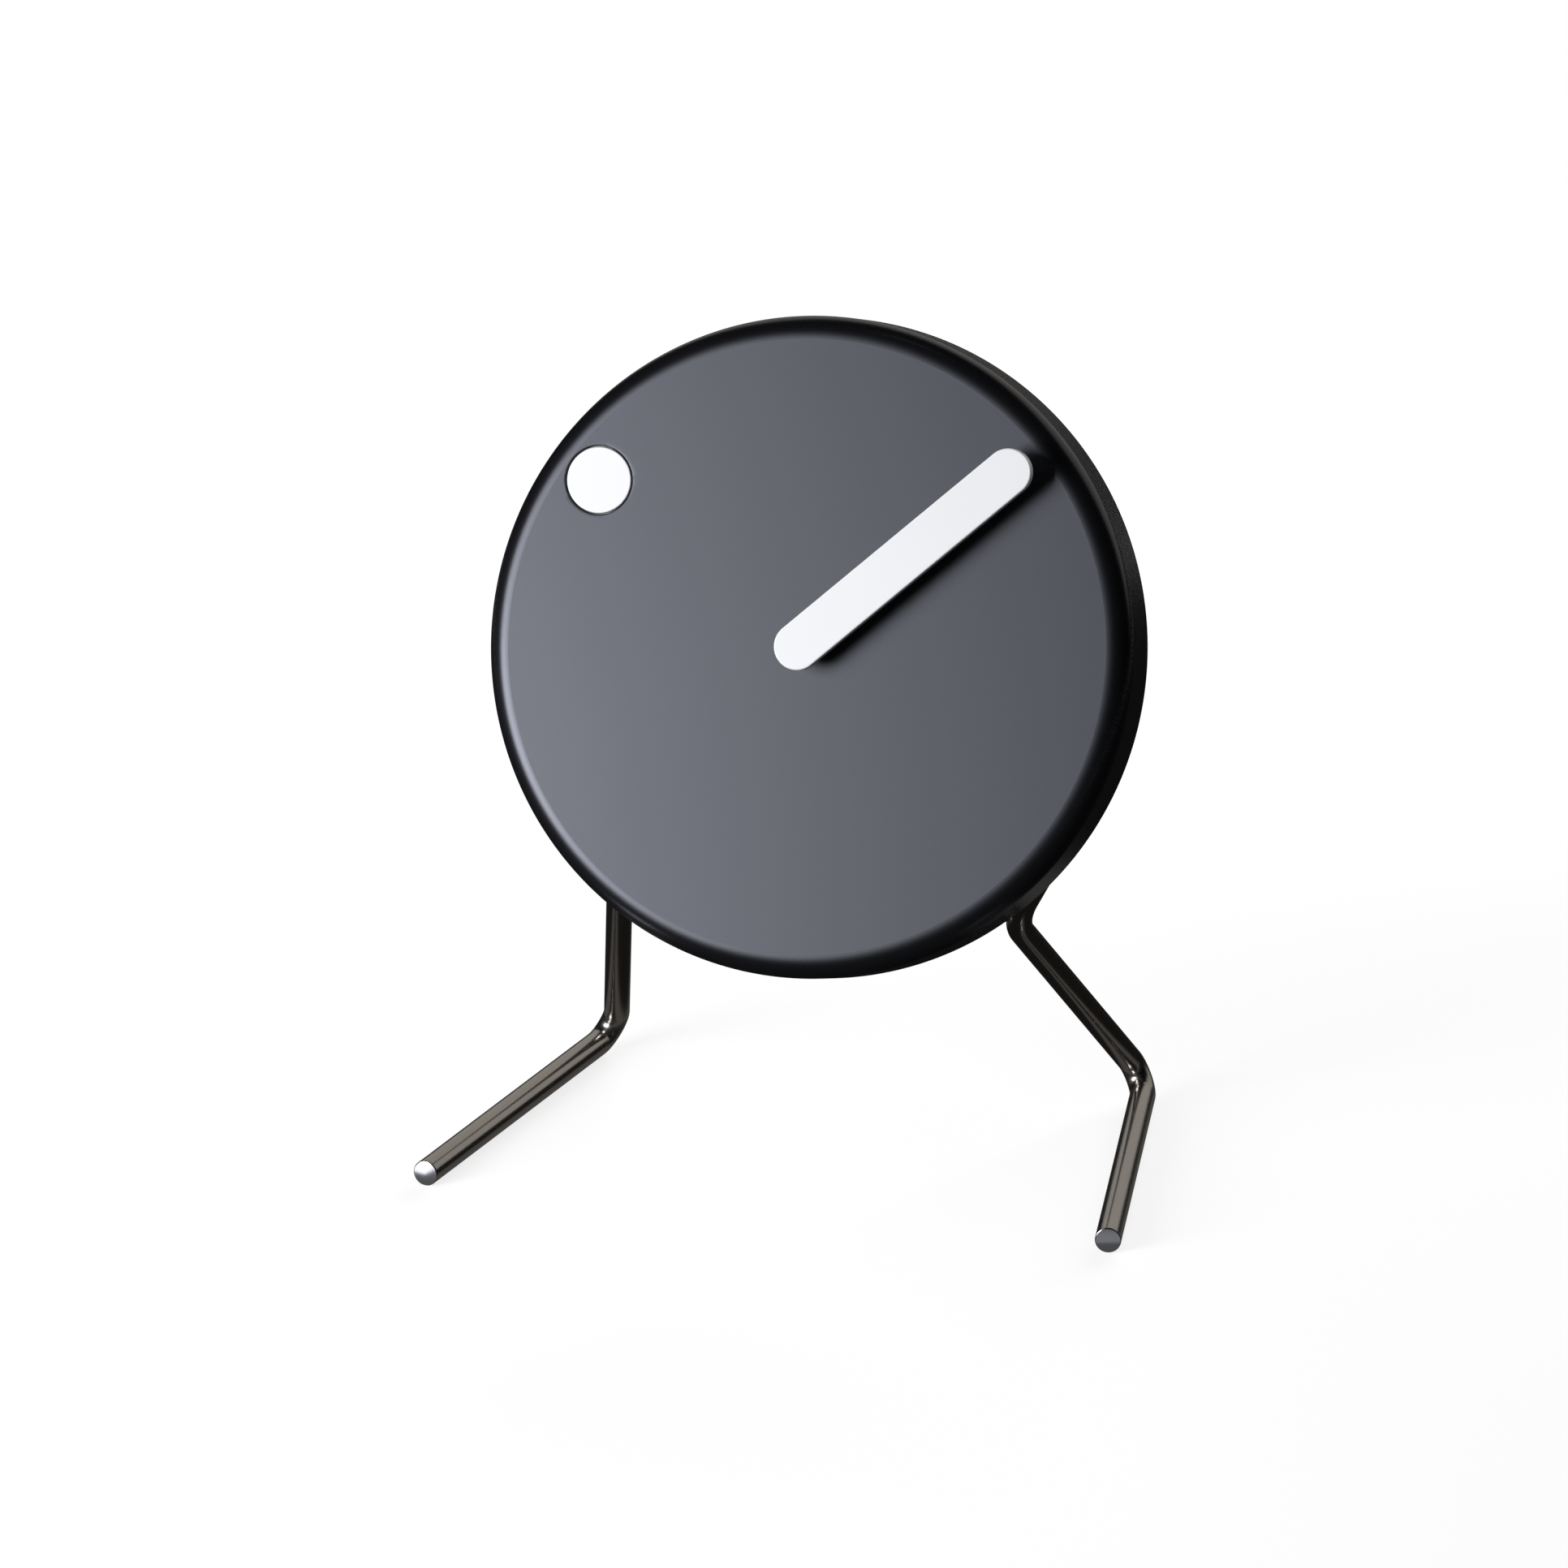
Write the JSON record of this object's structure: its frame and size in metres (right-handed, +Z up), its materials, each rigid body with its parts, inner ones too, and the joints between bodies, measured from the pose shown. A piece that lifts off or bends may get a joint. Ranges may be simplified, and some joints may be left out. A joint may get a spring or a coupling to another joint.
{
  "type": "table clock",
  "caption": "Round table clock leaning back on a bent rod stand, with a turning shell whose dot marks the hour, a bar minute hand and a quartz movement.",
  "frame": {"origin": "under the middle of the clock's bounding box, on the plane that it stands on", "axes": "+Z up, the face looks towards -Y and leans back, +X to the right of the face"},
  "size_m": [0.1662, 0.0992, 0.1946],
  "materials": {
    "polished_rod": "polished stainless steel",
    "black_shell": "fine matte black",
    "white_mark": "satin white",
    "dark_plastic": "fine texture",
    "pale_plastic": "moulded",
    "plated_steel": "zinc plated",
    "brass": "turned",
    "copper_wire": "enamelled copper wire",
    "magnet": "sintered magnet",
    "board": "solder mask",
    "cell": "plain sleeve"
  },
  "bodies": {
    "stand": {"stand_rod": "polished_rod", "rod_saddle_top": "dark_plastic", "rod_saddle_right": "dark_plastic", "rod_saddle_left": "dark_plastic", "rod_strap_top": "plated_steel", "rod_strap_right": "plated_steel", "rod_strap_left": "plated_steel", "clip_screw_top": "plated_steel", "clip_screw_right": "plated_steel", "clip_screw_left": "plated_steel", "back_cover": "dark_plastic", "movement_case": "dark_plastic", "movement_front_plate": "dark_plastic", "movement_bridge": "plated_steel", "bush_nut": "brass", "bridge_screw_left": "plated_steel", "bridge_screw_right": "plated_steel", "stator": "plated_steel", "coil_core": "plated_steel", "coil_bobbin": "pale_plastic", "coil_winding": "copper_wire", "circuit_board": "board", "quartz_crystal": "plated_steel", "clock_chip": "dark_plastic", "battery": "cell", "positive_contact": "plated_steel", "negative_contact": "plated_steel"},
    "hour_dial": {"hour_shell": "black_shell", "hour_dot": "white_mark", "shell_hub": "brass", "hour_wheel": "pale_plastic"},
    "minute": {"minute_hand": "white_mark", "hand_hub": "brass", "minute_arbor": "brass", "clutch_spring": "plated_steel"},
    "motion_work": {"motion_wheel": "pale_plastic"},
    "setter": {"setting_knob": "pale_plastic"},
    "centre": {"centre_wheel": "brass"},
    "third": {"third_wheel": "pale_plastic"},
    "rotor": {"rotor_pinion": "pale_plastic", "rotor_magnet": "magnet"},
    "door": {"battery_door": "dark_plastic"}
  },
  "joints": [
    {"name": "hour_turn", "type": "hinge", "parent": "stand", "child": "hour_dial", "pos_m": [0, -0.00289, 0.1215], "axis": [0, 0.9438, -0.3305], "continuous": true},
    {"name": "minute_turn", "type": "hinge", "parent": "stand", "child": "minute", "pos_m": [0, -0.00289, 0.1215], "axis": [0, 0.9438, -0.3305], "continuous": true},
    {"name": "motion_turn", "type": "hinge", "parent": "stand", "child": "motion_work", "pos_m": [-0.00866, -0.00124, 0.12622], "axis": [0, 0.9438, -0.3305], "continuous": true},
    {"name": "setter_turn", "type": "hinge", "parent": "stand", "child": "setter", "pos_m": [-0.01429, 0.00198, 0.13541], "axis": [0, 0.9438, -0.3305], "continuous": true},
    {"name": "centre_turn", "type": "hinge", "parent": "stand", "child": "centre", "pos_m": [0, -0.00289, 0.1215], "axis": [0, 0.9438, -0.3305], "continuous": true},
    {"name": "third_turn", "type": "hinge", "parent": "stand", "child": "third", "pos_m": [0.01118, -0.00155, 0.12534], "axis": [0, 0.9438, -0.3305], "continuous": true},
    {"name": "rotor_turn", "type": "hinge", "parent": "stand", "child": "rotor", "pos_m": [0.01414, 0.00114, 0.133], "axis": [0, 0.9438, -0.3305], "continuous": true},
    {"name": "door_hinge", "type": "hinge", "parent": "stand", "child": "door", "pos_m": [0, -0.00299, 0.09006], "axis": [-1, 0, 0], "range_deg": [0, 100]}
  ],
  "couplings": [
    {"joint": "minute_turn", "follows": "hour_turn", "ratio": 12},
    {"joint": "motion_turn", "follows": "hour_turn", "ratio": -4},
    {"joint": "setter_turn", "follows": "hour_turn", "ratio": 8},
    {"joint": "third_turn", "follows": "centre_turn", "ratio": -7.5},
    {"joint": "rotor_turn", "follows": "centre_turn", "ratio": 60}
  ]
}
